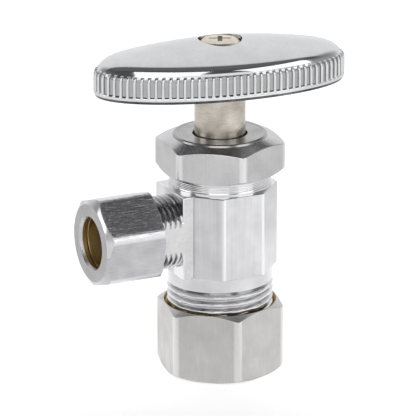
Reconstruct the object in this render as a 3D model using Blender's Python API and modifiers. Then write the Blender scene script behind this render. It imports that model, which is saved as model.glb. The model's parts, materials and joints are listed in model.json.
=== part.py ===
"""Angle stop valve for Blender 4.5: compression inlet below, compression outlet at the side, oval handle.

The origin is on the valve axis at the bottom face of the inlet nut. +Z runs up the stem and the outlet
points to -X. The valve stands open, with both compression nuts snug. Sizes are in millimetres and each
mesh is scaled to metres. Threads are plain cylinders at their major diameter.
"""
import math

import bmesh
import bpy

MM = 0.001
GAP = 0.3  # air left between pieces that touch
MERGE = 0.00001
FINE, MEDIUM, COARSE = 48, 40, 24  # steps round a turned piece

# Inlet: 5/8 in tube, 13/16-18 thread, 7/8 in hex nut
INLET_TUBE_R = 7.94
INLET_HOLE_R = 8.1
INLET_SOCKET_TOP = 17.0
INLET_THREAD_R = 10.3
INLET_THREAD_END = 5.2
INLET_CONE_R = 9.55
INLET_CONE_DEPTH = 2.9
INLET_NUT_HEIGHT = 13.9
INLET_NUT_CORNER_DEG = 19.9

# Outlet: 3/8 in tube, 9/16-24 thread, hex nut. Lengths run from the valve axis towards -X.
OUTLET_Z = 29.2
OUTLET_HOLE_R = 4.85
OUTLET_THREAD_R = 7.14
OUTLET_THREAD_END = 21.8
OUTLET_SOCKET_END = 12.5
OUTLET_PORT_R = 3.0
OUTLET_CONE_R = 5.75
OUTLET_NUT_START = 15.7
OUTLET_NUT_END = 27.6
OUTLET_NUT_CORNER_DEG = 48.0
OUTLET_NUT_WEB = 1.45

# Body
LARGE_HEX_FLATS = 22.225
SMALL_HEX_FLATS = 16.4
BODY_FLATS = 20.64
BODY_BOTTOM = 20.95
BODY_TOP = 37.5
TONGUE_HALF_WIDTH = 6.04
TONGUE_END = 10.85
BORE_R = 6.3
BORE_FLOOR = 22.0
SEAT_POCKET_R = 5.2
SEAT_POCKET_FLOOR = 18.3
PORT_R = 3.5

# Neck, packing and packing nut (3/4-20 thread)
NECK_R = 9.87
NECK_THREAD_R = 9.525
NECK_THREAD_START = 40.0
NECK_TOP = 45.4
PACKING_BORE_R = 7.4
PACKING_FLOOR = 39.6
PACKING_NUT_BOTTOM = 40.3
PACKING_NUT_WEB = 46.2
PACKING_NUT_TOP = 47.7
PACKING_NUT_CORNER_DEG = 24.5
PACKING_NUT_HOLE_R = 5.28

# Stem and seat disc, with the valve open
STEM_R = 4.93
STEM_THREAD_R = 6.0
STEM_BOTTOM = 32.0
STEM_SHOULDER = 55.7
TANG_TOP = 60.9
TANG_FLATS = 6.2
STEM_PITCH = 1.27
STEM_TURNS = 3.5
SWIVEL_BORE_R = 3.5
SWIVEL_BORE_TOP = 37.0
SWIVEL_GROOVE = (33.6, 35.0)
SEAT_WASHER_BOTTOM = 27.9
SEAT_TOP = SEAT_WASHER_BOTTOM - STEM_PITCH * STEM_TURNS - GAP

# Handle
HANDLE_HALF_LENGTH = 25.0
HANDLE_HALF_WIDTH = 11.35
HANDLE_TURN_DEG = -8.5
SCREW_TURN_DEG = -26.5
HANDLE_RIM = 56.9
HANDLE_SHOULDER = 60.9
HANDLE_SHOULDER_DEPTH = (6.6, 3.1)  # at the oval's ends and at its sides
HANDLE_SHOULDER_RISE = (3.8, 3.1)  # likewise
HANDLE_TOP = 66.6
HANDLE_WALL = 1.6
HANDLE_CEILING = 61.6
HUB_R = 6.8
HUB_BOTTOM = 56.0
POCKET_R = 4.2
POCKET_FLOOR = 62.9
SCREW_R = 2.1

CHROME = ("chrome", (0.80, 0.80, 0.81), 1.0, 0.12)
SATIN_CHROME = ("satin_chrome", (0.72, 0.71, 0.69), 1.0, 0.30)
NICKEL = ("nickel", (0.68, 0.64, 0.58), 1.0, 0.32)
BRASS = ("brass", (0.72, 0.52, 0.20), 1.0, 0.35)
STEEL = ("stainless_steel", (0.60, 0.60, 0.60), 1.0, 0.30)
GRAPHITE = ("packing", (0.06, 0.06, 0.065), 0.0, 0.75)
RUBBER = ("rubber", (0.02, 0.02, 0.02), 0.0, 0.70)


def clear_scene():
    """Remove every object and the collections that held them."""
    for item in list(bpy.data.objects):
        bpy.data.objects.remove(item, do_unlink=True)
    for group in list(bpy.data.collections):
        bpy.data.collections.remove(group)


def new_collection(name):
    """A collection linked to the scene."""
    group = bpy.data.collections.new(name)
    bpy.context.scene.collection.children.link(group)
    return group


def axis_empty(name, location=(0.0, 0.0, 0.0), rotation=(0.0, 0.0, 0.0)):
    """An empty on an axis that pieces turn about."""
    empty = bpy.data.objects.new(name, None)
    empty.location = location
    empty.rotation_euler = rotation
    empty.empty_display_size = 10 * MM
    PARTS.objects.link(empty)
    return empty


def material(settings):
    """The Principled material of this name, made on first use."""
    name, colour, metallic, roughness = settings
    if name in bpy.data.materials:
        return bpy.data.materials[name]
    made = bpy.data.materials.new(name)
    made.use_nodes = True
    made.diffuse_color = (*colour, 1.0)
    shader = made.node_tree.nodes["Principled BSDF"]
    shader.inputs["Base Color"].default_value = (*colour, 1.0)
    shader.inputs["Metallic"].default_value = metallic
    shader.inputs["Roughness"].default_value = roughness
    return made


def adopt(item, name, parent):
    """Name a new object, make it a cutter and hang it on its axis."""
    item.name = name
    item.data.name = name
    for group in list(item.users_collection):
        group.objects.unlink(item)
    CUTTERS.objects.link(item)
    item.hide_render = True
    item.display_type = "WIRE"
    item.parent = parent
    return item


def finish(item, settings):
    """Turn a shape into a finished piece: visible, in the parts collection, smooth and with a material."""
    CUTTERS.objects.unlink(item)
    PARTS.objects.link(item)
    item.hide_render = False
    item.display_type = "TEXTURED"
    item.data.materials.clear()
    item.data.materials.append(material(settings))
    if item.data.polygons:
        item.data.shade_smooth()
        item.data.set_sharp_from_angle(angle=math.radians(30))
    return item


def turned(name, profile, steps, parent, closed=False):
    """A turned shape. The profile is (radius, height) points, down its outer side.

    An open profile starts and ends on the axis. A closed one comes back up its inner side.
    """
    mesh = bpy.data.meshes.new(name)
    points = [(radius * MM, 0.0, height * MM) for radius, height in profile]
    edges = [(index, index + 1) for index in range(len(points) - 1)]
    if closed:
        edges.append((len(points) - 1, 0))
    mesh.from_pydata(points, edges, [])
    item = adopt(bpy.data.objects.new(name, mesh), name, parent)
    screw = item.modifiers.new("Turn", "SCREW")
    screw.steps = steps
    screw.render_steps = steps
    screw.use_merge_vertices = True
    screw.merge_threshold = MERGE
    screw.use_smooth_shade = False
    return item


def prism(name, sides, flats, low, high, corner_deg, parent):
    """An upright prism with this many sides, its first corner at corner_deg."""
    bpy.ops.mesh.primitive_cylinder_add(
        vertices=sides,
        radius=flats / 2 / math.cos(math.pi / sides) * MM,
        depth=(high - low) * MM,
    )
    item = adopt(bpy.context.active_object, name, parent)
    item.location = (0.0, 0.0, (low + high) / 2 * MM)
    item.rotation_euler = (0.0, 0.0, math.radians(corner_deg - 90))
    return item


def block(name, low, high, parent):
    """A box between two corners."""
    bpy.ops.mesh.primitive_cube_add(size=1.0)
    item = adopt(bpy.context.active_object, name, parent)
    middle = [(start + end) / 2 * MM for start, end in zip(low, high)]
    for vertex in item.data.vertices:
        vertex.co = [co * (end - start) * MM for co, start, end in zip(vertex.co, low, high)]
    item.location = middle
    return item


def combine(item, other, operation):
    """Add a Boolean with another shape."""
    boolean = item.modifiers.new(other.name, "BOOLEAN")
    boolean.operation = operation
    boolean.object = other
    boolean.solver = "EXACT"


def oval_loft(name, rings, steps, parent):
    """A closed oval solid through rings, bottom to top.

    A ring is (end inset, side inset, end height, side height, share).
    """
    shape = bmesh.new()
    rows = []
    for end_inset, side_inset, end_height, side_height, share in rings:
        length = (HANDLE_HALF_LENGTH - end_inset) * share * MM
        width = (HANDLE_HALF_WIDTH - side_inset) * share * MM
        turns = [2 * math.pi * step / steps for step in range(steps)]
        row = []
        for a in turns:
            height = end_height + (side_height - end_height) * math.sin(a) ** 2
            row.append(shape.verts.new((length * math.cos(a), width * math.sin(a), height * MM)))
        rows.append(row)
    for lower, upper in zip(rows, rows[1:]):
        for step in range(steps):
            after = (step + 1) % steps
            shape.faces.new((lower[step], lower[after], upper[after], upper[step]))
    shape.faces.new(reversed(rows[0]))
    shape.faces.new(rows[-1])
    mesh = bpy.data.meshes.new(name)
    shape.to_mesh(mesh)
    shape.free()
    item = adopt(bpy.data.objects.new(name, mesh), name, parent)
    item.rotation_euler = (0.0, 0.0, math.radians(HANDLE_TURN_DEG))
    return item


def make_body(axis, outlet_axis):
    """Body: octagonal block, outlet tongue and boss, threaded neck and inlet, and the bores through them."""
    body = prism("valve_body", 8, BODY_FLATS, BODY_BOTTOM, BODY_TOP, 22.5, axis)
    core = turned(
        "body_core",
        [
            (0, NECK_TOP),
            (NECK_THREAD_R - 0.6, NECK_TOP),
            (NECK_THREAD_R, NECK_TOP - 0.6),
            (NECK_THREAD_R, NECK_THREAD_START),
            (NECK_R, NECK_THREAD_START),
            (NECK_R, BODY_BOTTOM + 0.5),
            (INLET_THREAD_R, BODY_BOTTOM + 0.5),
            (INLET_THREAD_R, INLET_THREAD_END + 0.4),
            (INLET_THREAD_R - 0.4, INLET_THREAD_END),
            (0, INLET_THREAD_END),
        ],
        FINE,
        axis,
    )
    side = TONGUE_HALF_WIDTH + 0.5
    tongue = block("body_tongue", (-TONGUE_END, -side, BODY_BOTTOM), (-4, side, BODY_TOP), axis)
    boss = turned(
        "outlet_boss",
        [
            (0, OUTLET_THREAD_END),
            (OUTLET_THREAD_R - 0.5, OUTLET_THREAD_END),
            (OUTLET_THREAD_R, OUTLET_THREAD_END - 0.5),
            (OUTLET_THREAD_R, TONGUE_END - 2),
            (0, TONGUE_END - 2),
        ],
        MEDIUM,
        outlet_axis,
    )
    for shape in (core, tongue, boss):
        combine(body, shape, "UNION")
    start = TONGUE_END - 2.25
    for name, sign in (("flat_cut_front", -1), ("flat_cut_back", 1)):
        near, far = sorted((sign * TONGUE_HALF_WIDTH, sign * 2 * TONGUE_HALF_WIDTH))
        low = (-OUTLET_THREAD_END - 1, near, BODY_BOTTOM - 1)
        combine(body, block(name, low, (-start, far, BODY_TOP + 1), axis), "DIFFERENCE")
    combine(body, body_bore(axis), "DIFFERENCE")
    combine(body, outlet_bore(outlet_axis), "DIFFERENCE")
    return finish(body, CHROME)


def body_bore(axis):
    """Cutter for the packing bore, stem bore, seat pocket, inlet port and inlet tube socket."""
    past = 1.0
    return turned(
        "body_bore",
        [
            (0, NECK_TOP + past),
            (PACKING_BORE_R, NECK_TOP + past),
            (PACKING_BORE_R, PACKING_FLOOR),
            (BORE_R, PACKING_FLOOR),
            (BORE_R, BORE_FLOOR),
            (SEAT_POCKET_R, BORE_FLOOR),
            (SEAT_POCKET_R, SEAT_POCKET_FLOOR),
            (PORT_R, SEAT_POCKET_FLOOR),
            (PORT_R, INLET_SOCKET_TOP),
            (INLET_HOLE_R, INLET_SOCKET_TOP),
            (INLET_HOLE_R, INLET_THREAD_END + INLET_CONE_DEPTH),
            (INLET_CONE_R + past / 2, INLET_THREAD_END - past),
            (0, INLET_THREAD_END - past),
        ],
        FINE,
        axis,
    )


def outlet_bore(outlet_axis):
    """Cutter for the outlet tube socket, its cone mouth and the port into the stem bore."""
    past = 1.0
    depth = 2 * (OUTLET_CONE_R - OUTLET_HOLE_R)
    return turned(
        "outlet_bore",
        [
            (0, OUTLET_THREAD_END + past),
            (OUTLET_CONE_R + past / 2, OUTLET_THREAD_END + past),
            (OUTLET_HOLE_R, OUTLET_THREAD_END - depth),
            (OUTLET_HOLE_R, OUTLET_SOCKET_END),
            (OUTLET_PORT_R, OUTLET_SOCKET_END),
            (OUTLET_PORT_R, BORE_R / 2),
            (0, BORE_R / 2),
        ],
        MEDIUM,
        outlet_axis,
    )


def make_seat_ring(axis):
    """Renewable seat: a sleeve in the body's pocket, with a flange and a raised lip."""
    sleeve = SEAT_POCKET_R - GAP
    flange_low = BORE_FLOOR + GAP
    flange_high = flange_low + 0.5
    profile = [
        (PORT_R, SEAT_TOP),
        (PORT_R + 0.8, SEAT_TOP),
        (PORT_R + 1.1, flange_high),
        (BORE_R - 0.4, flange_high),
        (BORE_R - 0.4, flange_low),
        (sleeve, flange_low),
        (sleeve, SEAT_POCKET_FLOOR + GAP),
        (PORT_R, SEAT_POCKET_FLOOR + GAP),
    ]
    return finish(turned("seat_ring", profile, COARSE, axis, closed=True), STEEL)


def make_flat_ring(name, inner, outer, low, high, settings, parent, steps=COARSE):
    """A washer or a packing ring."""
    profile = [(inner, high), (outer, high), (outer, low), (inner, low)]
    return finish(turned(name, profile, steps, parent, closed=True), settings)


def make_packing(axis):
    """The stack in the packing bore: support washer, two packing rings and the gland washer."""
    inner = STEM_R + GAP
    outer = PACKING_BORE_R - GAP
    stack = (
        ("packing_support_washer", 0.8, BRASS),
        ("packing_ring_lower", 1.4, GRAPHITE),
        ("packing_ring_upper", 1.4, GRAPHITE),
        ("packing_washer", 1.5, BRASS),
    )
    low = PACKING_FLOOR + GAP
    for name, thick, settings in stack:
        make_flat_ring(name, inner, outer, low, low + thick, settings, axis)
        low += thick + GAP


def make_packing_nut(axis):
    """Hex nut over the neck: flat top disc, long top chamfer and a web that presses on the gland."""
    nut = prism(
        "packing_nut", 6, LARGE_HEX_FLATS, PACKING_NUT_BOTTOM, PACKING_NUT_TOP, PACKING_NUT_CORNER_DEG, axis
    )
    outline = [
        (0, PACKING_NUT_TOP),
        (8.3, PACKING_NUT_TOP),
        (9.0, PACKING_NUT_TOP - 0.1),
        (9.1, PACKING_NUT_TOP - 0.5),
        (13.0, PACKING_NUT_TOP - 1.8),
        (13.0, PACKING_NUT_BOTTOM + 1.05),
        (11.1, PACKING_NUT_BOTTOM),
        (0, PACKING_NUT_BOTTOM),
    ]
    bore = [
        (0, PACKING_NUT_TOP + 1),
        (PACKING_NUT_HOLE_R, PACKING_NUT_TOP + 1),
        (PACKING_NUT_HOLE_R, PACKING_NUT_WEB),
        (NECK_THREAD_R + GAP, PACKING_NUT_WEB),
        (NECK_THREAD_R + GAP, PACKING_NUT_BOTTOM - 1),
        (0, PACKING_NUT_BOTTOM - 1),
    ]
    combine(nut, turned("packing_nut_outline", outline, MEDIUM, axis), "INTERSECT")
    combine(nut, turned("packing_nut_bore", bore, MEDIUM, axis), "DIFFERENCE")
    return finish(nut, SATIN_CHROME)


def make_inlet_nut(axis):
    """Large compression nut: rounded lower end, chamfered top, tube hole and ferrule cone."""
    nut = prism("inlet_nut", 6, LARGE_HEX_FLATS, 0, INLET_NUT_HEIGHT, INLET_NUT_CORNER_DEG, axis)
    outline = [
        (0, INLET_NUT_HEIGHT),
        (11.1, INLET_NUT_HEIGHT),
        (13.0, INLET_NUT_HEIGHT - 1.1),
        (13.0, 1.45),
        (12.4, 0.8),
        (11.6, 0.25),
        (10.8, 0),
        (0, 0),
    ]
    cone_start, cone_end = 2.2, 4.3
    bore = [
        (0, INLET_NUT_HEIGHT + 1),
        (INLET_THREAD_R + GAP, INLET_NUT_HEIGHT + 1),
        (INLET_THREAD_R + GAP, cone_end),
        (9.65, cone_end),
        (8.75, cone_start),
        (INLET_HOLE_R, cone_start),
        (INLET_HOLE_R, -1),
        (0, -1),
    ]
    combine(nut, turned("inlet_nut_outline", outline, MEDIUM, axis), "INTERSECT")
    combine(nut, turned("inlet_nut_bore", bore, MEDIUM, axis), "DIFFERENCE")
    return finish(nut, SATIN_CHROME)


def make_outlet_nut(outlet_axis):
    """Small compression nut on the outlet, with its face towards -X."""
    low, high = OUTLET_NUT_START, OUTLET_NUT_END
    nut = prism("outlet_nut", 6, SMALL_HEX_FLATS, low, high, OUTLET_NUT_CORNER_DEG, outlet_axis)
    outline = [
        (0, high),
        (7.55, high),
        (9.6, high - 1.33),
        (9.6, low + 0.4),
        (8.7, low),
        (0, low),
    ]
    web, cone_end = high - OUTLET_NUT_WEB, high - 3.4
    bore = [
        (0, high + 0.5),
        (5.55, high + 0.5),
        (OUTLET_HOLE_R, high - 0.5),
        (OUTLET_HOLE_R, web),
        (5.75, web),
        (6.35, cone_end),
        (OUTLET_THREAD_R + GAP, cone_end),
        (OUTLET_THREAD_R + GAP, low - 1),
        (0, low - 1),
    ]
    combine(nut, turned("outlet_nut_outline", outline, MEDIUM, outlet_axis), "INTERSECT")
    combine(nut, turned("outlet_nut_bore", bore, MEDIUM, outlet_axis), "DIFFERENCE")
    return finish(nut, SATIN_CHROME)


def make_inlet_ferrule(axis):
    """Brass sleeve between the inlet nut's cone and the body's cone."""
    inner = INLET_TUBE_R + GAP
    profile = [(inner, 6.6), (8.5, 6.6), (9.2, 5.2), (9.2, 4.2), (8.5, 2.6), (inner, 2.6)]
    return finish(turned("inlet_ferrule", profile, MEDIUM, axis, closed=True), BRASS)


def make_outlet_ferrule(outlet_axis):
    """Brass sleeve between the outlet nut's cone and the body's cone."""
    inner = OUTLET_HOLE_R + 0.2
    back, front = OUTLET_NUT_END - OUTLET_NUT_WEB - GAP, OUTLET_THREAD_END
    profile = [
        (inner, back),
        (5.4, back),
        (5.95, back - 1.5),
        (5.95, front + 1.1),
        (5.4, front),
        (inner, front),
    ]
    return finish(turned("outlet_ferrule", profile, COARSE, outlet_axis, closed=True), BRASS)


def make_stem(axis):
    """Stem: thread below, round shank, square tang, a bore for the swivel and one for the handle screw."""
    stem = turned(
        "stem",
        [
            (0, STEM_SHOULDER),
            (STEM_R - 0.3, STEM_SHOULDER),
            (STEM_R, STEM_SHOULDER - 0.3),
            (STEM_R, PACKING_FLOOR),
            (STEM_THREAD_R - 0.5, PACKING_FLOOR),
            (STEM_THREAD_R, PACKING_FLOOR - 0.5),
            (STEM_THREAD_R, STEM_BOTTOM + 0.5),
            (STEM_THREAD_R - 0.5, STEM_BOTTOM),
            (0, STEM_BOTTOM),
        ],
        MEDIUM,
        axis,
    )
    tang = prism("stem_tang", 4, TANG_FLATS, STEM_SHOULDER - 1, TANG_TOP, HANDLE_TURN_DEG + 45, axis)
    screw_hole = [
        (0, TANG_TOP + 1),
        (SCREW_R + GAP, TANG_TOP + 1),
        (SCREW_R + GAP, 52.7),
        (0, 52.7),
    ]
    groove_low, groove_high = SWIVEL_GROOVE
    swivel_bore = [
        (0, SWIVEL_BORE_TOP),
        (SWIVEL_BORE_R, SWIVEL_BORE_TOP),
        (SWIVEL_BORE_R, groove_high),
        (SWIVEL_BORE_R + 0.7, groove_high),
        (SWIVEL_BORE_R + 0.7, groove_low),
        (SWIVEL_BORE_R, groove_low),
        (SWIVEL_BORE_R, STEM_BOTTOM - 1),
        (0, STEM_BOTTOM - 1),
    ]
    combine(stem, tang, "UNION")
    combine(stem, turned("stem_screw_hole", screw_hole, COARSE, axis), "DIFFERENCE")
    combine(stem, turned("stem_swivel_bore", swivel_bore, COARSE, axis), "DIFFERENCE")
    return finish(stem, NICKEL)


def make_seat_disc(axis):
    """What closes on the seat: swivelling holder, its split ring, rubber washer, backing and screw."""
    stalk = SWIVEL_BORE_R - GAP
    groove_low, groove_high = SWIVEL_GROOVE
    hole = 1.75
    disc_top = STEM_BOTTOM - GAP
    disc_bottom = disc_top - 1.1
    holder = [
        (0, SWIVEL_BORE_TOP - 0.6),
        (stalk - 0.3, SWIVEL_BORE_TOP - 0.6),
        (stalk, SWIVEL_BORE_TOP - 0.9),
        (stalk, groove_high),
        (stalk - 0.55, groove_high),
        (stalk - 0.55, groove_low),
        (stalk, groove_low),
        (stalk, disc_top),
        (BORE_R - GAP, disc_top),
        (BORE_R - GAP, SEAT_WASHER_BOTTOM + 1),
        (5.2, SEAT_WASHER_BOTTOM + 1),
        (5.2, disc_bottom),
        (hole, disc_bottom),
        (hole, 35.4),
        (0, 35.4),
    ]
    finish(turned("seat_disc_holder", holder, COARSE, axis), BRASS)
    ring = make_flat_ring(
        "disc_retaining_ring", 2.95, 3.9, groove_low + GAP, groove_high - GAP, STEEL, axis
    )
    slit = block("retaining_ring_slit", (1, -0.6, groove_low), (5, 0.6, groove_high), axis)
    combine(ring, slit, "DIFFERENCE")
    make_flat_ring("seat_washer", hole, 4.9, SEAT_WASHER_BOTTOM, disc_bottom - GAP, RUBBER, axis)
    backing_top = SEAT_WASHER_BOTTOM - GAP
    make_flat_ring("seat_washer_backing", hole, 3.0, backing_top - 0.5, backing_top, BRASS, axis)
    head_top = backing_top - 0.5 - GAP
    head_bottom = head_top - 1.4
    screw = [
        (0, 35.1),
        (hole - GAP - 0.3, 35.1),
        (hole - GAP, 34.8),
        (hole - GAP, head_top),
        (2.5, head_top),
        (2.5, head_bottom),
        (0, head_bottom),
    ]
    made = finish(turned("seat_washer_screw", screw, COARSE, axis), BRASS)
    slot = block("seat_screw_slot", (-3, -0.35, head_bottom - 0.5), (3, 0.35, head_bottom + 0.7), axis)
    combine(made, slot, "DIFFERENCE")


def handle_rings():
    """Rings of the handle's outside: straight side, round shoulder and a shallow dome.

    The shoulder is lower at the sides than at the ends. The last ring is level.
    """
    shoulder_steps, dome_steps, shoulder_end = 4, 6, math.radians(60)
    rings = [(0, 0, height, height, 1.0) for height in (HANDLE_RIM, HANDLE_SHOULDER)]
    for step in range(1, shoulder_steps + 1):
        angle = shoulder_end * step / shoulder_steps
        insets = [depth * (1 - math.cos(angle)) for depth in HANDLE_SHOULDER_DEPTH]
        edges = [HANDLE_SHOULDER + rise * math.sin(angle) for rise in HANDLE_SHOULDER_RISE]
        rings.append((*insets, *edges, 1.0))
    for step in range(1, dome_steps):
        share = 1 - step / dome_steps
        heights = [edge + (HANDLE_TOP - edge) * (1 - share**1.8) for edge in edges]
        rings.append((*insets, *heights, share))
    rings[-1] = (*insets, heights[0], heights[0], share)
    return rings


def make_handle(axis):
    """Oval handle: a hollow casting with a hub, a square socket for the stem and a pocket for its screw."""
    handle = oval_loft("handle", handle_rings(), FINE, axis)
    hollow = [(HANDLE_WALL, HANDLE_WALL, z, z, 1.0) for z in (HANDLE_RIM - 1, HANDLE_CEILING)]
    hub = [
        (0, HANDLE_CEILING + 0.6),
        (HUB_R, HANDLE_CEILING + 0.6),
        (HUB_R, HUB_BOTTOM),
        (0, HUB_BOTTOM),
    ]
    socket_top = TANG_TOP + GAP
    flats = TANG_FLATS + 2 * GAP
    socket = prism("handle_socket", 4, flats, HUB_BOTTOM - 1, socket_top, HANDLE_TURN_DEG + 45, axis)
    pocket = [
        (0, HANDLE_TOP + 1),
        (POCKET_R, HANDLE_TOP + 1),
        (POCKET_R, POCKET_FLOOR),
        (SCREW_R + 2 * GAP, POCKET_FLOOR),
        (SCREW_R + 2 * GAP, socket_top - 1),
        (0, socket_top - 1),
    ]
    combine(handle, oval_loft("handle_hollow", hollow, FINE, axis), "DIFFERENCE")
    combine(handle, turned("handle_hub", hub, MEDIUM, axis), "UNION")
    combine(handle, socket, "DIFFERENCE")
    combine(handle, turned("handle_pocket", pocket, COARSE, axis), "DIFFERENCE")
    return finish(handle, CHROME)


def make_handle_screw(axis):
    """Phillips screw through the handle into the stem, and the split washer under its head."""
    washer_low, washer_high = POCKET_FLOOR + GAP, POCKET_FLOOR + GAP + 0.6
    washer = make_flat_ring("handle_lock_washer", 2.5, 3.9, washer_low, washer_high, STEEL, axis)
    slit = block("lock_washer_slit", (1, -0.3, washer_low - 1), (5, 0.3, washer_high + 1), axis)
    combine(washer, slit, "DIFFERENCE")
    head_low, head_top = washer_high + GAP, 66.4
    profile = [
        (0, head_top),
        (2.6, head_top - 0.1),
        (3.4, head_top - 0.3),
        (3.8, head_top - 0.7),
        (3.8, head_low),
        (SCREW_R, head_low),
        (SCREW_R, 53.3),
        (SCREW_R - 0.3, 53.0),
        (0, 53.0),
    ]
    screw = turned("handle_screw", profile, COARSE, axis)
    for name, long_x, long_y in (("recess_along_x", 2.2, 0.45), ("recess_along_y", 0.45, 2.2)):
        cut = block(name, (-long_x, -long_y, head_top - 1.2), (long_x, long_y, head_top + 1), axis)
        cut.rotation_euler = (0.0, 0.0, math.radians(SCREW_TURN_DEG))
        combine(screw, cut, "DIFFERENCE")
    return finish(screw, NICKEL)


clear_scene()
PARTS = new_collection("angle_stop_valve")
CUTTERS = new_collection("cutters")
valve_axis = axis_empty("valve_axis")
outlet_axis_empty = axis_empty("outlet_axis", (0.0, 0.0, OUTLET_Z * MM), (0.0, -math.pi / 2, 0.0))

make_body(valve_axis, outlet_axis_empty)
make_seat_ring(valve_axis)
make_packing(valve_axis)
make_packing_nut(valve_axis)
make_inlet_nut(valve_axis)
make_inlet_ferrule(valve_axis)
make_outlet_nut(outlet_axis_empty)
make_outlet_ferrule(outlet_axis_empty)
make_seat_disc(valve_axis)
make_stem(valve_axis)
make_handle(valve_axis)
make_handle_screw(valve_axis)
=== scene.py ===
"""Looks of the angle stop valve: chrome body, three hex nuts, a nickel stem and an oval ribbed handle.

Sizes are in millimetres in the CAD frame: +Z up along the stem, the outlet towards -X. The meshes are in
metres. Every piece rides on the CAD body of the node that it stands for. Pieces on the outlet are made
upright in a local frame and then laid along -X.
"""
import json
import math

import bmesh
import bpy
import numpy as np
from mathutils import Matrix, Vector


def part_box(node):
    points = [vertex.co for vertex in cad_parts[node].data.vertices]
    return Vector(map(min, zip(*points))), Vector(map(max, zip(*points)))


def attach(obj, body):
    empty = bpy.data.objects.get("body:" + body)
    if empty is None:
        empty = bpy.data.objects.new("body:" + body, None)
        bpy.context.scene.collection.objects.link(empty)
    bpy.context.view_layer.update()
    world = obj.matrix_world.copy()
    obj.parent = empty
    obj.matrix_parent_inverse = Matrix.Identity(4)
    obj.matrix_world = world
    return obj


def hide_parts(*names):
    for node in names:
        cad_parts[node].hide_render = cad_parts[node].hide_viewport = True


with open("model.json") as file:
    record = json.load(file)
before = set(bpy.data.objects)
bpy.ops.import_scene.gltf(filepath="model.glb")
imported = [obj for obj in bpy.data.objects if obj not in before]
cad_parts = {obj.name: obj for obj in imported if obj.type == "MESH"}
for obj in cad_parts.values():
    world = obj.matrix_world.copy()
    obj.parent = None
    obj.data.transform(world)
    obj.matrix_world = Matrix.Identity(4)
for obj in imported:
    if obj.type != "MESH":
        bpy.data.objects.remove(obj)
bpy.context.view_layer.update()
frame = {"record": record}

MM = 0.001
X, Z = 0, 2


def span(node, axis):
    """Lowest and highest place of a CAD node along an axis, in millimetres."""
    low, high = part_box(node)
    return low[axis] / MM, high[axis] / MM


# Places and sizes that the frame gives
INLET_END, NECK_TOP = span("valve_body", Z)
OUTLET_END = -span("valve_body", X)[0]
INLET_NUT = span("inlet_nut", Z)
PACKING_NUT = span("packing_nut", Z)
OUTLET_NUT = tuple(sorted(-x for x in span("outlet_nut", X)))
OUTLET_Z = sum(span("outlet_ferrule", Z)) / 2
STEM_BOTTOM, TANG_TOP = span("stem", Z)
SCREW_TIP, SCREW_TOP = span("handle_screw", Z)
LOCK_WASHER = span("handle_lock_washer", Z)

# Driving sizes of the design
GAP = 0.3
INLET_R, INLET_PITCH, INLET_DEPTH = 10.3, 25.4 / 18, 0.8
OUTLET_R, OUTLET_PITCH, OUTLET_DEPTH = 7.14, 25.4 / 24, 0.62
NECK_R, NECK_THREAD_R, NECK_PITCH, NECK_DEPTH = 9.87, 9.525, 1.27, 0.7
STEM_R, STEM_THREAD_R, STEM_PITCH, STEM_DEPTH = 4.93, 6.0, 1.27, 0.7
INLET_HOLE_R, OUTLET_HOLE_R = 8.1, 4.85
OUTLET_NUT_WEB = 1.45
BODY_FLATS, BODY_BOTTOM, BODY_TOP = 20.64, 20.95, 37.5
TONGUE_SIDE, TONGUE_END, FLATS_START = 6.04, 10.85, 8.6
BORE_R, PACKING_BORE_R, PACKING_FLOOR = 6.3, 7.4, 39.6
LARGE_HEX, SMALL_HEX = 22.225, 16.4
HANDLE_HALF = (25.0, 11.35)
HANDLE_TURN = math.radians(-8.5)
SCREW_TURN = math.radians(-26.5)
HANDLE_RIM, HANDLE_SHOULDER, HANDLE_TOP = 56.9, 60.9, 66.6
SHOULDER_DEPTH, SHOULDER_RISE = (6.6, 3.1), (3.8, 3.1)
HANDLE_WALL, HANDLE_CEILING = 1.6, 61.6
HUB_R, HUB_BOTTOM = 6.8, 56.0
POCKET_R, POCKET_FLOOR = 4.2, 62.9
RIBS, RIB_DEPTH, LIP_TOP, RIB_TOP = 86, 0.4, 58.15, 62.0
CROWN_SOFTENING = 16
RING_GROOVE = (33.6, 35.0)

BODY_OF = {node: body for body, nodes in frame["record"]["behaviour"]["bodies"].items() for node in nodes}


# ---------------------------------------------------------------- mesh tools


def upright(points):
    """Points as they are, on the valve axis."""
    return points


def sideways(points):
    """Points of the outlet's local frame laid along -X: local x is up and local z runs out of the outlet."""
    x, y, z = np.moveaxis(points, -1, 0)
    return np.stack([-z, y, OUTLET_Z + x], axis=-1)


def with_handle(points):
    """Points turned with the handle about the valve axis."""
    x, y, z = np.moveaxis(points, -1, 0)
    cos, sin = math.cos(HANDLE_TURN), math.sin(HANDLE_TURN)
    return np.stack([x * cos - y * sin, x * sin + y * cos, z], axis=-1)


def skin(name, rings, place=upright, loop=True):
    """A mesh through rings of points. With loop the last ring joins the first, else both ends are points."""
    rings = place(np.asarray(rings, float)) * MM
    count, steps = rings.shape[:2]
    index = np.arange(count * steps).reshape(count, steps)
    if loop:
        index = np.vstack([index, index[:1]])
    after = np.roll(index, -1, axis=1)
    faces = np.stack([index[:-1], after[:-1], after[1:], index[1:]], axis=-1).reshape(-1, 4)
    mesh = bpy.data.meshes.new(name)
    mesh.from_pydata(rings.reshape(-1, 3).tolist(), [], faces.tolist())
    shape = bmesh.new()
    shape.from_mesh(mesh)
    bmesh.ops.remove_doubles(shape, verts=shape.verts, dist=1e-7)
    bmesh.ops.recalc_face_normals(shape, faces=shape.faces)
    shape.to_mesh(mesh)
    shape.free()
    item = bpy.data.objects.new(name, mesh)
    bpy.context.scene.collection.objects.link(item)
    return item


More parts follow.
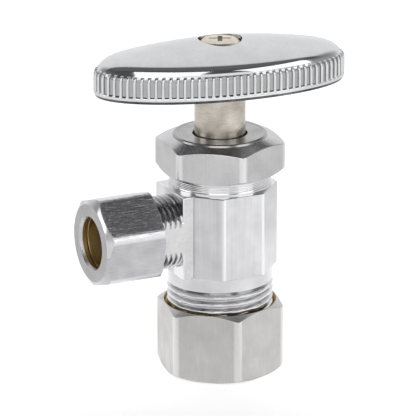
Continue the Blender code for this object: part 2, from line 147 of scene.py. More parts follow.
def rounded(corners, closed=False, steps=4):
    """Points of an outline of (across, along, fillet) corners, each with a fillet turned into an arc."""
    points = []
    for index, (across, along, fillet) in enumerate(corners):
        here = Vector((across, along))
        last = len(corners) - 1
        if fillet <= 0 or (not closed and index in (0, last)):
            points.append((across, along))
            continue
        back = Vector(corners[index - 1][:2]) - here
        on = Vector(corners[(index + 1) % len(corners)][:2]) - here
        half = max(back.angle(on), 0.02) / 2
        reach = min(fillet / math.tan(half), 0.45 * back.length, 0.45 * on.length)
        radius = reach * math.tan(half)
        back.normalize()
        on.normalize()
        middle = (back + on).normalized()
        centre = here + middle * radius / math.sin(half)
        for step in range(steps + 1):
            swing = (math.pi / 2 - half) * (2 * step / steps - 1)
            side = (on - back).normalized()
            arm = -middle * math.cos(swing) + side * math.sin(swing)
            points.append(tuple(centre + arm * radius))
    return points


def even_turns(steps):
    """Angles of evenly spaced steps round the axis."""
    return np.arange(steps) * 2 * math.pi / steps


def circle(turns, radius):
    """Points (x, y) of a circle at the given angles."""
    return np.stack([radius * np.cos(turns), radius * np.sin(turns)], axis=-1)


def square(turns, half, swing=0.0, corner_r=math.inf):
    """Points (x, y) of a square at the given angles, its corners cut to a radius."""
    reach = half / np.maximum(np.abs(np.cos(turns - swing)), np.abs(np.sin(turns - swing)))
    return circle(turns, np.minimum(reach, corner_r))


def at_height(points, height):
    """A ring of (x, y, z) points from its (x, y) points and one height or a height for each."""
    return np.column_stack([points, np.broadcast_to(height, len(points))])


def spun(outline, turns):
    """Rings of a turned shape: each outline point (radius, height) at every turn."""
    return np.stack([at_height(circle(turns, radius), height) for radius, height, *_ in outline])


def turned(name, corners, steps=128, place=upright, loop=False):
    """A turned piece from an outline of (radius, height, fillet) corners."""
    return skin(name, spun(rounded(corners, closed=loop), even_turns(steps)), place, loop)


def thread(turn, height, major, pitch, depth):
    """Radius of a right-hand thread with rounded crests and roots."""
    crest, root = 0.22, 0.2
    phase = np.mod(height / pitch - turn / (2 * math.pi), 1.0)
    away = np.abs(phase - 0.5) * 2
    share = np.clip((away - crest) / (1 - crest - root), 0, 1)
    return major - depth * share * share * (3 - 2 * share)


def threaded_rings(heights, turns, major, pitch, depth, chamfer, runout=None):
    """Rings of a threaded stretch. chamfer and runout are (start, end) heights of its two tapers.

    The chamfer cuts the thread's open end, and over the runout the thread fades into the major radius.
    """
    height, turn = np.meshgrid(heights, turns, indexing="ij")
    radius = thread(turn, height, major, pitch, depth)
    if runout:
        radius = radius + (major - radius) * np.clip((height - runout[0]) / (runout[1] - runout[0]), 0, 1)
    cut = np.clip((height - chamfer[1]) / (chamfer[0] - chamfer[1]), 0, 1)
    radius = np.minimum(radius, major - depth * 0.85 * cut)
    return np.stack([radius * np.cos(turn), radius * np.sin(turn), height], axis=-1)


def closed_off(rings, centre=0.0):
    """Rings with a point added at each end, on the axis or beside it along x."""
    heights = [ring[:, 2].mean() for ring in (rings[0], rings[-1])]
    bottom, top = (at_height(np.full((len(rings[0]), 2), (centre, 0.0)), height) for height in heights)
    return np.stack([bottom, *rings, top])


def hexagon(flats, corner, rounding):
    """Angles round a hexagon, close together on its rounded corners, each with the distance to its edge."""
    arc_steps, flat_steps = 8, 20
    centre = (flats / 2 - rounding) / math.cos(math.pi / 6)
    arc_end = math.atan2(rounding / 2, centre + rounding * math.cos(math.pi / 6))
    arc = np.linspace(-arc_end, arc_end, arc_steps + 1)
    flat = np.linspace(arc_end, math.pi / 3 - arc_end, flat_steps + 1)[1:-1]
    arc_reach = centre * np.cos(arc) + np.sqrt(rounding**2 - (centre * np.sin(arc)) ** 2)
    reach = np.concatenate([arc_reach, flats / 2 / np.cos(math.pi / 6 - flat)])
    turns = [corner + side * math.pi / 3 + np.concatenate([arc, flat]) for side in range(6)]
    return zip(np.concatenate(turns), np.tile(reach, 6))


def combine(item, other, operation):
    """Apply a Boolean with another shape and remove that shape."""
    boolean = item.modifiers.new(other.name, "BOOLEAN")
    boolean.operation = operation
    boolean.object = other
    boolean.solver = "EXACT"
    evaluated = item.evaluated_get(bpy.context.evaluated_depsgraph_get())
    mesh = bpy.data.meshes.new_from_object(evaluated)
    item.modifiers.clear()
    item.data = mesh
    bpy.data.objects.remove(other, do_unlink=True)


def box(name, low, high):
    """A box between two corners, for cutting."""
    bpy.ops.mesh.primitive_cube_add(size=1.0)
    item = bpy.context.active_object
    item.name = name
    for vertex in item.data.vertices:
        shares = [co + 0.5 for co in vertex.co]
        vertex.co = [(start + (end - start) * share) * MM for share, start, end in zip(shares, low, high)]
    return item


def dress(item, material, node, *painted):
    """Finish a piece: its materials, even shading, and its place on the CAD body of its node.

    Each of painted is a material of its own for the faces that chosen(centre in millimetres, normal) picks.
    """
    item.data.materials.clear()
    item.data.materials.append(material)
    for slot, (paint, chosen) in enumerate(painted, start=1):
        item.data.materials.append(paint)
        for face in item.data.polygons:
            if chosen(face.center / MM, face.normal):
                face.material_index = slot
    item.data.shade_smooth()
    item.data.set_sharp_from_angle(angle=math.radians(38))
    weight = item.modifiers.new("Even shading", "WEIGHTED_NORMAL")
    weight.keep_sharp = True
    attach(item, BODY_OF[node])
    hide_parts(node)


# ---------------------------------------------------------------- materials


class Nodes:
    """Builds a node tree in short steps."""

    def __init__(self, tree, coordinates):
        self.tree = tree
        self.place = self.add("TexCoord").outputs[coordinates]

    def add(self, kind, **settings):
        """A new node with its settings."""
        made = self.tree.nodes.new("ShaderNode" + kind)
        for name, value in settings.items():
            setattr(made, name, value)
        return made

    def link(self, start, end):
        self.tree.links.new(start, end)

    def along(self, direction):
        """How far a place lies along a direction."""
        made = self.add("VectorMath", operation="DOT_PRODUCT")
        made.inputs[1].default_value = direction
        self.link(self.place, made.inputs[0])
        return made.outputs["Value"]

    def length(self, vector, scale, shift=(0.0, 0.0, 0.0)):
        """Length of a vector after it is scaled and shifted."""
        moved = self.add("VectorMath", operation="MULTIPLY_ADD")
        moved.inputs[1].default_value, moved.inputs[2].default_value = scale, shift
        made = self.add("VectorMath", operation="LENGTH")
        self.link(vector, moved.inputs[0])
        self.link(moved.outputs[0], made.inputs[0])
        return made.outputs["Value"]

    def remap(self, value, low, high, start=0.3, end=0.7, smooth=False):
        """A value from start to end becomes low to high."""
        made = self.add("MapRange", interpolation_type="SMOOTHSTEP" if smooth else "LINEAR")
        for socket, number in zip(("From Min", "From Max", "To Min", "To Max"), (start, end, low, high)):
            made.inputs[socket].default_value = number
        self.link(value, made.inputs["Value"])
        return made.outputs["Result"]

    def math(self, operation, first, second=0.0):
        made = self.add("Math", operation=operation)
        for socket, value in zip(made.inputs, (first, second)):
            if isinstance(value, (int, float)):
                socket.default_value = value
            else:
                self.link(value, socket)
        return made.outputs["Value"]

    def blend(self, share, low, high):
        """Colours from low to high by a share of 0 to 1."""
        made = self.add("Mix", data_type="RGBA")
        for socket, value in zip((made.inputs[6], made.inputs[7]), (low, high)):
            if isinstance(value, tuple):
                socket.default_value = (*value, 1.0)
            else:
                self.link(value, socket)
        self.link(share, made.inputs[0])
        return made.outputs[2]


class Material(Nodes):
    """Builds a material's node tree on its Principled shader."""

    def __init__(self, name):
        self.material = bpy.data.materials.new(name)
        self.material.use_nodes = True
        super().__init__(self.material.node_tree, "Object")
        self.inputs = self.tree.nodes["Principled BSDF"].inputs

    def noise(self, per_mm, detail=3.0, roughness=0.5):
        """Noise with its own number of features per millimetre along X, Y and Z."""
        mapping, made = self.add("Mapping"), self.add("TexNoise")
        mapping.inputs["Scale"].default_value = [number / MM for number in per_mm]
        for socket, number in (("Scale", 1.0), ("Detail", detail), ("Roughness", roughness)):
            made.inputs[socket].default_value = number
        self.link(self.place, mapping.inputs["Vector"])
        self.link(mapping.outputs["Vector"], made.inputs["Vector"])
        return made.outputs["Fac"]

    def radius(self, outlet):
        """Distance in millimetres from the valve axis, or from the outlet's."""
        if outlet:
            return self.length(self.place, (0.0, 1 / MM, 1 / MM), (0.0, 0.0, -OUTLET_Z))
        return self.length(self.place, (1 / MM, 1 / MM, 0.0))

    def rings(self, per_mm, outlet):
        """Noise in rings round the valve axis or the outlet's, like a lathe's marks on a flat face."""
        made = self.add("TexNoise", noise_dimensions="1D")
        made.inputs["Scale"].default_value = 1.0
        self.link(self.math("MULTIPLY", self.radius(outlet), per_mm), made.inputs["W"])
        return made.outputs["Fac"]

    def handle_depth(self):
        """Distance in millimetres in from the handle's oval outline."""
        turned = self.add("VectorRotate", rotation_type="Z_AXIS")
        turned.inputs["Angle"].default_value = -HANDLE_TURN
        self.link(self.place, turned.inputs["Vector"])
        scales = [[1 / MM / half**power for half in HANDLE_HALF] + [0.0] for power in (1, 2)]
        level, slope = [self.length(turned.outputs[0], scale) for scale in scales]
        short = self.math("SUBTRACT", 1.0, level)
        return self.math("DIVIDE", self.math("MULTIPLY", short, level), slope)

    def bump(self, height, depth_mm):
        """Bump of a real depth, over any bump before it."""
        made = self.add("Bump")
        made.inputs["Strength"].default_value = 1.0
        made.inputs["Distance"].default_value = depth_mm * MM
        self.link(height, made.inputs["Height"])
        if self.inputs["Normal"].links:
            self.link(self.inputs["Normal"].links[0].from_socket, made.inputs["Normal"])
        self.link(made.outputs["Normal"], self.inputs["Normal"])


TURNED_FACE = "turned face"
LATHE_MARKS = 5.0


def metal(
    name, colour, dull, roughness, grain, grain_depth, outlet=False, corner_highlight=None, valley_shade=None, ribs=None
):
    """A metal with a directional grain, cloudy tint and roughness, and fine pits.

    grain is the number of grain features per millimetre along X, Y and Z, or TURNED_FACE. Past the radii in
    corner_highlight the colour gets a painted highlight and the roughness is lowered, and below those in
    valley_shade the colour is darkened as painted shade in a thread's valleys. ribs darkens the colour by the
    depth between the handle's ribs, as painted shade.
    """
    nodes = Material(name)
    clouds = nodes.noise((0.25, 0.25, 0.25), detail=4.0)
    if grain == TURNED_FACE:
        lines = nodes.rings(LATHE_MARKS, outlet)
    else:
        lines = nodes.noise(grain, detail=4.0, roughness=0.6)
    pits = nodes.noise((7.0, 7.0, 7.0), detail=2.0)
    share = nodes.math("ADD", nodes.math("MULTIPLY", clouds, 0.6), nodes.math("MULTIPLY", lines, 0.4))
    tint = nodes.blend(nodes.remap(share, 0.0, 1.0, 0.35, 0.65), dull, colour)
    rough = nodes.remap(share, roughness + 0.06, roughness - 0.03, 0.35, 0.65)
    # Painted highlight: past these radii the colour is brightened, and the roughness is lowered
    if corner_highlight:
        highlit = nodes.remap(nodes.radius(outlet), 0.0, 1.0, *corner_highlight)
        tint = nodes.blend(highlit, tint, tuple(min(0.9, channel * 1.22) for channel in colour))
        rough = nodes.math("SUBTRACT", rough, nodes.math("MULTIPLY", highlit, 0.07))
    # Painted shade: below these radii the colour is darkened, in a thread's valleys
    if valley_shade:
        unshaded = nodes.remap(nodes.radius(outlet), 0.0, 1.0, *valley_shade)
        tint = nodes.blend(unshaded, tuple(channel * 0.8 for channel in dull), tint)
    # Painted shade: the colour is darkened between the handle's ribs
    if ribs:
        shade_between_ribs = nodes.remap(nodes.handle_depth(), 0.0, 1.0, *ribs)
        tint = nodes.blend(shade_between_ribs, tint, tuple(channel * 0.62 for channel in dull))
    nodes.link(tint, nodes.inputs["Base Color"])
    nodes.link(rough, nodes.inputs["Roughness"])
    nodes.inputs["Metallic"].default_value = 1.0
    nodes.bump(pits, 0.0015)
    nodes.bump(lines, grain_depth)
    return nodes.material


def soft_material(name, light, dark, roughness, grain, depth):
    """A matt non-metal with a fine grain."""
    nodes = Material(name)
    specks = nodes.noise(grain, detail=5.0, roughness=0.65)
    tint = nodes.blend(nodes.remap(specks, 0.0, 1.0), dark, light)
    nodes.link(tint, nodes.inputs["Base Color"])
    nodes.link(nodes.remap(specks, roughness + 0.08, roughness - 0.08), nodes.inputs["Roughness"])
    nodes.bump(specks, depth)
    return nodes.material


polished = metal("polished_chrome", (0.66, 0.665, 0.67), (0.60, 0.605, 0.61), 0.08, (2, 2, 2), 0.0005)
# Painted shade between the handle's ribs
ribbed = metal(
    "ribbed_chrome", (0.80, 0.805, 0.81), (0.68, 0.685, 0.69), 0.08, (3, 3, 3), 0.012, ribs=(0.14, 0.32)
)
cast_inside = metal("cast_chrome", (0.40, 0.40, 0.40), (0.26, 0.26, 0.26), 0.42, (3, 3, 3), 0.02)
neck_turned = metal("neck_chrome", (0.74, 0.74, 0.745), (0.62, 0.62, 0.63), 0.13, (0.3, 0.3, 7), 0.004)
# Painted highlight on the body's outer corners
milled = metal(
    "milled_chrome", (0.68, 0.68, 0.69), (0.54, 0.54, 0.55), 0.14, (2.4, 2.4, 0.06), 0.006, corner_highlight=(10.95, 11.1)
)
# Painted shade in the inlet thread's valleys
plated_turned = metal(
    "turned_chrome", (0.74, 0.74, 0.745), (0.61, 0.61, 0.62), 0.12, (0.3, 0.3, 9), 0.003, valley_shade=(9.6, 10.15)
)
# Painted shade in the outlet thread's valleys
outlet_turned = metal(
    "outlet_chrome", (0.66, 0.66, 0.665), (0.52, 0.52, 0.53), 0.12, (9, 0.3, 0.3), 0.003, True,
    valley_shade=(6.6, 7.0),
)
# Painted highlight on the packing nut's hex corners
satin_packing = metal(
    "satin_packing_nut", (0.61, 0.61, 0.615), (0.51, 0.51, 0.515), 0.24, (5, 5, 0.2), 0.004, corner_highlight=(12.3, 12.5)
)
forged = metal("forged_chrome", (0.67, 0.67, 0.675), (0.54, 0.54, 0.545), 0.22, (1.5, 1.5, 1.5), 0.014)
turned_top = metal("turned_top", (0.42, 0.42, 0.415), (0.30, 0.30, 0.295), 0.22, TURNED_FACE, 0.003)
# Painted highlight on the inlet nut's hex corners
satin_inlet = metal(
    "satin_inlet_nut", (0.55, 0.54, 0.53), (0.46, 0.45, 0.44), 0.30, (4, 4, 0.3), 0.006, corner_highlight=(12.3, 12.5)
)
# Painted highlight on the outlet nut's hex corners
satin_outlet = metal(
    "satin_outlet_nut", (0.60, 0.60, 0.62), (0.44, 0.44, 0.46), 0.19, (0.4, 5, 5), 0.08, True,
    corner_highlight=(8.95, 9.1),
)
# A darker copy of the outlet nut's chrome: painted shade on its end face
shaded_outlet_face = metal("shaded_outlet_face", (0.50, 0.50, 0.505), (0.40, 0.40, 0.405), 0.2, TURNED_FACE, 0.002, True)
# A brighter copy of the chrome: a painted highlight on the outlet nut's chamfer
highlit_chamfer = metal("highlit_chamfer", (0.74, 0.74, 0.75), (0.62, 0.62, 0.63), 0.14, TURNED_FACE, 0.002, True)
nickel = metal("turned_nickel", (0.70, 0.645, 0.57), (0.40, 0.365, 0.315), 0.25, (0.5, 0.5, 9), 0.010)
screw_nickel = metal("screw_nickel", (0.74, 0.68, 0.57), (0.56, 0.50, 0.41), 0.25, (2, 2, 2), 0.004)
brass = metal("turned_brass", (0.72, 0.50, 0.20), (0.52, 0.34, 0.12), 0.28, (0.3, 0.3, 8), 0.004)
raw_brass = metal("raw_brass", (0.55, 0.40, 0.17), (0.36, 0.25, 0.10), 0.38, (1, 6, 6), 0.006)
bright_brass = metal("bright_brass", (0.86, 0.68, 0.36), (0.62, 0.48, 0.24), 0.30, (0.2, 2.5, 2.5), 0.01)
# Painted shade under the handle's lip
lip_shade = metal("lip_shade", (0.16, 0.16, 0.17), (0.04, 0.04, 0.045), 0.35, (1.5, 1.5, 1.5), 0.03)
steel = metal("spring_steel", (0.56, 0.56, 0.56), (0.42, 0.42, 0.42), 0.30, (3, 3, 3), 0.003)
graphite = soft_material("graphite_packing", (0.07, 0.07, 0.075), (0.03, 0.03, 0.032), 0.62, (3, 3, 3), 0.05)
rubber = soft_material("black_rubber", (0.03, 0.03, 0.03), (0.012, 0.012, 0.012), 0.70, (2, 2, 2), 0.02)


# ---------------------------------------------------------------- body


def plan_rings(corners, stations):
    """Rings of an upright block: its rounded plan at each (inset, height) station."""
    plan = np.asarray(rounded(corners, closed=True, steps=5))
    along = np.roll(plan, -1, axis=0) - np.roll(plan, 1, axis=0)
    along /= np.linalg.norm(along, axis=1, keepdims=True)
    outward = np.stack([along[:, 1], -along[:, 0]], axis=1)
    rings = [at_height(plan - outward * inset, height) for inset, height in stations]
    return closed_off(rings, plan[:, 0].mean())


def body_block():
    """The octagon with the outlet tongue, its edges rounded."""
    half, side = BODY_FLATS / 2, BODY_FLATS / 2 * math.tan(math.pi / 8)
    slant = half * math.sqrt(2)
    edge, inner = 0.22, 0.05
    plan = [(half, -side, edge), (half, side, edge), (side, half, edge), (-side, half, edge)]
    plan += [(TONGUE_SIDE - slant, TONGUE_SIDE, inner), (-TONGUE_END, TONGUE_SIDE, edge)]
    plan += [(-TONGUE_END, -TONGUE_SIDE, edge), (TONGUE_SIDE - slant, -TONGUE_SIDE, inner)]
    plan += [(-side, -half, edge), (side, -half, edge)]
    swings = np.linspace(0, math.pi / 2, 4)
    low = [(edge * (1 - math.sin(a)), BODY_BOTTOM + edge * (1 - math.cos(a))) for a in swings]
    high = [(edge * (1 - math.cos(a)), BODY_TOP - edge * (1 - math.sin(a))) for a in swings]
    return skin("body_block", plan_rings(plan, low + high), loop=False)


def inlet_stub():
    """Inlet thread with its run-out and the plain collar above it."""
    turns = even_turns(192)
    thread_top, collar_top = 18.7, BODY_BOTTOM + 3
    heights = np.arange(INLET_END, thread_top + 0.05, INLET_PITCH / 14)
    chamfer, runout = (INLET_END, INLET_END + 0.7), (thread_top - 1.1, thread_top)
    rings = threaded_rings(heights, turns, INLET_R, INLET_PITCH, INLET_DEPTH, chamfer, runout)
    collar = [(INLET_R, thread_top + 0.15), (INLET_R, BODY_BOTTOM - 0.5), (INLET_R, collar_top)]
    return skin("inlet_stub", closed_off(np.concatenate([rings, spun(collar, turns)])), loop=False)


def neck_stub():
    """Neck: a ring at its base, fine tool marks, a relief and the thread for the packing nut."""
    turns = even_turns(160)
    base, mark, root = NECK_R + 0.08, 0.03, NECK_THREAD_R - NECK_DEPTH
    outline = [(NECK_R - 1.5, BODY_TOP - 4, 0), (base, BODY_TOP - 2, 0), (base, BODY_TOP + 0.55, 0.1)]
    outline += [(NECK_R, BODY_TOP + 0.75, 0.05)]
    for step in range(4):
        height = BODY_TOP + 1.0 + 0.32 * step
        outline += [(NECK_R, height, 0), (NECK_R - mark, height + 0.05, 0), (NECK_R, height + 0.1, 0)]
    outline += [(NECK_R, 40.05, 0.1), (root, 40.4, 0.1), (root, 40.9, 0)]
    heights = np.arange(41.0, NECK_TOP, NECK_PITCH / 14)
    chamfer = (NECK_TOP, NECK_TOP - 0.7)
    rings = threaded_rings(heights, turns, NECK_THREAD_R, NECK_PITCH, NECK_DEPTH, chamfer)
    rings = np.concatenate([spun(rounded(outline), turns), rings, spun([(root, NECK_TOP)], turns)])
    return skin("neck_stub", closed_off(rings), loop=False)


def outlet_stub():
    """Outlet boss with its thread, laid along -X."""
    turns = even_turns(160)
    start = [(OUTLET_R - 0.3, TONGUE_END - 1.5), (OUTLET_R - 0.3, TONGUE_END + 0.2)]
    heights = np.arange(TONGUE_END + 0.3, OUTLET_END, OUTLET_PITCH / 14)
    chamfer = (OUTLET_END, OUTLET_END - 0.6)
    rings = threaded_rings(heights, turns, OUTLET_R, OUTLET_PITCH, OUTLET_DEPTH, chamfer)
    end = [(OUTLET_R - OUTLET_DEPTH, OUTLET_END)]
    rings = np.concatenate([spun(start, turns), rings, spun(end, turns)])
    return skin("outlet_stub", closed_off(rings), sideways, loop=False)


def bores():
    """Shapes of the bores along the valve axis and the outlet's, which run past their open ends."""
    past = 1.0
    ledge, ledge_r, seat_floor, flow_r, socket_top = 22.0, 5.2, 18.3, 3.5, 17.0
    main = [(0, NECK_TOP + past, 0), (PACKING_BORE_R + 0.3 + past, NECK_TOP + past, 0)]
    main += [(PACKING_BORE_R, NECK_TOP - 0.3, 0), (PACKING_BORE_R, PACKING_FLOOR, 0.1)]
    main += [(BORE_R, PACKING_FLOOR, 0.15), (BORE_R, ledge, 0.1), (ledge_r, ledge, 0.1)]
    main += [(ledge_r, seat_floor, 0.1), (flow_r, seat_floor, 0.1), (flow_r, socket_top, 0.1)]
    main += [(INLET_HOLE_R, socket_top, 0.2), (INLET_HOLE_R, INLET_END + 2.9, 0.1)]
    main += [(9.55 + past / 2, INLET_END - past, 0), (0, INLET_END - past, 0)]
    stop, port_r, port_end = 12.5, 3.0, 3.1
    outlet = [(0, OUTLET_END + past, 0), (5.75 + past / 2, OUTLET_END + past, 0)]
    outlet += [(OUTLET_HOLE_R, OUTLET_END - 1.8, 0.1), (OUTLET_HOLE_R, stop, 0.1)]
    outlet += [(port_r, stop, 0.1), (port_r, port_end, 0), (0, port_end, 0)]
    return turned("main_bore", main, 128), turned("outlet_bore", outlet, 112, sideways)


def make_body():
    """One-piece body: block, inlet, neck and outlet joined, outlet flats cut, and the bores through it."""
    body = body_block()
    for stub in (inlet_stub(), neck_stub(), outlet_stub()):
        combine(body, stub, "UNION")
    under, over = BODY_BOTTOM - 1, BODY_TOP + 1
    for name, near, away in (("front_flat", -12, -TONGUE_SIDE), ("back_flat", TONGUE_SIDE, 12)):
        combine(body, box(name, (-OUTLET_END - 2, near, under), (-FLATS_START, away, over)), "DIFFERENCE")
    joint, groove_r = TONGUE_SIDE - BODY_FLATS / 2 * math.sqrt(2), 0.17
    bar = [(0, under, 0), (groove_r, under, 0), (groove_r, over, 0), (0, over, 0)]
    for name, across in (("front_groove", -TONGUE_SIDE), ("back_groove", TONGUE_SIDE)):
        groove = turned(name, bar, 12, lambda points, across=across: points + np.array([joint, across, 0.0]))
        combine(body, groove, "DIFFERENCE")
    for cutter in bores():
        combine(body, cutter, "DIFFERENCE")
    body.name = "valve_body_finished"

    def on_turned(centre, normal):
        return not BODY_BOTTOM - 0.01 < centre.z < BODY_TOP + 0.01

    def on_neck(centre, normal):
        return centre.z > BODY_TOP - 0.01

    def on_outlet(centre, normal):
        return centre.x < -TONGUE_END - 0.01 and abs(normal.y) < 0.999

    def on_tongue(centre, normal):
        return centre.x < -FLATS_START and abs(normal.y) > 0.99 and abs(centre.y) < TONGUE_SIDE + 0.01

    def in_bore(centre, normal):
        across = math.hypot(centre.x, centre.y)
        along_outlet = math.hypot(centre.y, centre.z - OUTLET_Z)
        plated = across > INLET_HOLE_R + 0.9 or centre.z > NECK_TOP - 0.2
        return not plated and across < 8.3 or (centre.x < -8 and along_outlet < 5.3)

    lathe_work = (plated_turned, on_turned), (neck_turned, on_neck), (outlet_turned, on_outlet)
    dress(body, milled, "valve_body", *lathe_work, (forged, on_tongue), (raw_brass, in_bore))


# ---------------------------------------------------------------- nuts


def nut(name, flats, corner_deg, rounding, outline, place=upright):
    """A hex nut. outline(hex radius, turn) gives its closed outline of (radius, height, fillet) corners."""
    columns = []
    for turn, hex_r in hexagon(flats, math.radians(corner_deg), rounding):
        radius, height = np.transpose(rounded(outline(hex_r, turn), closed=True))
        columns.append(at_height(circle(turn, radius), height))
    return skin(name, np.stack(columns, axis=1), place)


def cone_end(hex_r, start_r, face, drop, corner_r, fillet):
    """Corners where a nut's side meets its chamfered face: on the side, then on the face.

    The chamfer falls by drop from start_r on the face to corner_r.
    """
    start = min(start_r, hex_r - 0.08)
    fall = abs(drop) * (hex_r - start_r) / (corner_r - start_r)
    fall = max(fall, 0.06)
    return [(hex_r, face - math.copysign(fall, drop), fillet), (start, face, fillet)]


def nut_thread(turn, low, high, major, pitch, depth):
    """Points down a nut's thread, which follows the body's thread at a small clearance."""
    heights = np.arange(high, low, -pitch / 12)
    clearance = 0.2
    radii = thread(turn, heights, major, pitch, depth) + clearance
    return [(radius, height, 0) for radius, height in zip(radii, heights)]


def make_packing_nut():
    """Packing nut: raised disc with a thin edge ring on top, long chamfer, and a web over the gland."""
    low, high = PACKING_NUT
    web, hole = 46.2, 5.28

    disc_foot = high - 0.48

    def outline(hex_r, turn):
        bottom = cone_end(hex_r, 11.1, low, -1.05, 13.0, 0.12)
        side, _ = cone_end(hex_r, 9.15, disc_foot, 1.32, 13.0, 0.2)
        top = [(9.15, disc_foot, 0.02), (9.0, high - 0.12, 0.1), (8.75, high, 0.06), (8.45, high, 0.06)]
        top += [(8.3, high - 0.07, 0.04)]
        mouth = [(hole + 0.12, high - 0.07, 0.05), (hole, high - 0.2, 0.04), (hole, web, 0.1)]
        inside = [(9.3, web, 0.1), (9.3, web - 0.4, 0)]
        grip = nut_thread(turn, low + 0.6, web - 0.5, NECK_THREAD_R, NECK_PITCH, NECK_DEPTH)
        lead_in = [(9.75, low + 0.52, 0), (10.1, low, 0.05)]
        return [bottom[1], bottom[0], side, *top, *mouth, *inside, *grip, *lead_in]

    def on_disc(centre, normal):
        return math.hypot(centre.x, centre.y) < 9.2 and centre.z > disc_foot - 0.01

    def inside(centre, normal):
        return math.hypot(centre.x, centre.y) < 9.9 and centre.z < web + 0.3

    item = nut("packing_nut_finished", LARGE_HEX, 24.5, 1.2, outline)
    dress(item, satin_packing, "packing_nut", (turned_top, on_disc), (raw_brass, inside))


def make_inlet_nut():
    """Inlet nut: chamfered top, rounded lower end, tube hole, ferrule cone and thread."""
    low, high = INLET_NUT

    def outline(hex_r, turn):
        swell = [(10.8, 0.0), (11.6, 0.25), (12.4, 0.8), (13.0, 1.45)]
        reach = min(hex_r, 13.0)
        rise = np.interp(reach, *zip(*swell))
        bend = np.interp((10.8 + reach) / 2, *zip(*swell))
        bottom = [(10.6, low, 0.4), ((10.8 + reach) / 2, bend, 0.9), (hex_r, max(rise, 0.15), 0.5)]
        side, face = cone_end(hex_r, 11.1, high, 1.1, 13.0, 0.1)
        mouth = [(10.95, high - 0.02, 0), (10.62, high - 0.5, 0.05)]
        grip = nut_thread(turn, 4.9, high - 0.7, INLET_R, INLET_PITCH, INLET_DEPTH)
        cone = [(9.65, 4.3, 0.1), (8.75, 2.2, 0.1), (INLET_HOLE_R, 2.2, 0.1), (INLET_HOLE_R, 0.35, 0.1)]
        return [*bottom, side, face, *mouth, *grip, *cone, (INLET_HOLE_R + 0.35, low, 0.1)]

    def inside(centre, normal):
        return math.hypot(centre.x, centre.y) < 10.9 and centre.z > 0.4

    item = nut("inlet_nut_finished", LARGE_HEX, 19.9, 1.2, outline)
    dress(item, satin_inlet, "inlet_nut", (raw_brass, inside))


def make_outlet_nut():
    """Outlet nut: chamfered face with a countersunk tube hole, ferrule cone and thread."""
    low, high = OUTLET_NUT
    web = high - OUTLET_NUT_WEB

    def outline(hex_r, turn):
        back = cone_end(hex_r, 8.7, low, -0.4, 9.6, 0.1)
        side, face = cone_end(hex_r, 7.55, high, 1.33, 9.6, 0.22)
        mouth = [(5.3, high, 0.08), (OUTLET_HOLE_R + 0.08, high - 0.6, 0.15), (OUTLET_HOLE_R, web + 0.12, 0)]
        mouth += [(OUTLET_HOLE_R + 0.12, web, 0)]
        cone = [(5.75, web, 0.1), (6.35, high - 3.4, 0.1)]
        grip = nut_thread(turn, low + 0.6, high - 3.9, OUTLET_R, OUTLET_PITCH, OUTLET_DEPTH)
        return [back[1], back[0], side, face, *mouth, *cone, *grip, (OUTLET_R + 0.55, low, 0.05)]

    def inside(centre, normal):
        return math.hypot(centre.y, centre.z - OUTLET_Z) < 7.6 and -centre.x < high - 0.55

    def in_cone(centre, normal):
        return inside(centre, normal) and -centre.x < web + 0.13

    # The chamfer gets a painted highlight
    def on_chamfer(centre, normal):
        return -0.97 < normal.x < -0.6 and -centre.x > high - 1.4 and normal.z > -0.05

    # The end face gets painted shade
    def on_face(centre, normal):
        return normal.x < -0.97 and -centre.x > high - 0.1

    item = nut("outlet_nut_finished", SMALL_HEX, 48.0, 2.1, outline, sideways)
    plated = (highlit_chamfer, on_chamfer), (shaded_outlet_face, on_face)
    dress(item, satin_outlet, "outlet_nut", *plated, (raw_brass, inside), (bright_brass, in_cone))


# ---------------------------------------------------------------- handle, stem and screw


def handle_turns():
    """Angles round the handle's oval, evenly spaced along its edge, and their places between two ribs."""
    fine = np.linspace(0, 2 * math.pi, 7201)
    step = np.hypot(HANDLE_HALF[0] * np.sin(fine), HANDLE_HALF[1] * np.cos(fine))
    length = np.concatenate([[0], np.cumsum((step[1:] + step[:-1]) / 2)])
    half = np.array([0.07, 0.13, 0.18, 0.215, 0.24, 0.255, 0.34])
    places = np.concatenate([[0.0], half, [0.5], 1 - half[::-1]])
    wanted = (np.arange(RIBS)[:, None] + places[None, :]).ravel() / RIBS
    return np.interp(wanted * length[-1], length, fine), np.tile(places, RIBS)


def oval(turns, inset=(0.0, 0.0)):
    """Points (x, y) of the handle's oval, before it is turned."""
    half_x, half_y = (half - depth for half, depth in zip(HANDLE_HALF, inset))
    return np.stack([half_x * np.cos(turns), half_y * np.sin(turns)], axis=1)


def handle_side(turns, normal, places, rise):
    """Rings up the handle's side: a plain lip, then rounded ribs that run out on the shoulder."""
    from_ridge, bead_half = np.minimum(places, 1 - places), 0.24
    bead = np.clip(1 - (from_ridge / bead_half) ** 2, 0, 1) ** 0.55
    lip = [(-0.5, HANDLE_RIM), (-0.42, HANDLE_RIM), (-0.03, HANDLE_RIM + 0.6), (0, LIP_TOP - 0.58)]
    lip += [(0, LIP_TOP - 0.2), (-0.03, LIP_TOP - 0.08)]
    rings = [at_height(oval(turns) + normal * offset, height) for offset, height in lip]
    band = [(LIP_TOP, 0.9, 0.25), (LIP_TOP + 0.05, 0.95, 0.7), (LIP_TOP + 0.12, 1.0, 0.95)]
    low, high = LIP_TOP + 0.25, RIB_TOP - 0.5
    band += [(level, 1.0, 1.0) for level in np.linspace(low, high, 7)]
    band += [(high + 0.5 * math.sin(turn), math.cos(turn), 1.0) for turn in np.linspace(0.25, math.pi / 2, 6)]
    for level, proud, sunk in band:
        climb = max(level - HANDLE_SHOULDER, 0) / SHOULDER_RISE[1]
        inset = [depth * (1 - math.sqrt(1 - climb**2)) for depth in SHOULDER_DEPTH]
        drawn_in = RIB_DEPTH * sunk * (1 - proud * bead)
        points = oval(turns, inset) - normal * drawn_in[:, None]
        rings.append(at_height(points, min(level, HANDLE_SHOULDER) + rise * climb))
    return rings


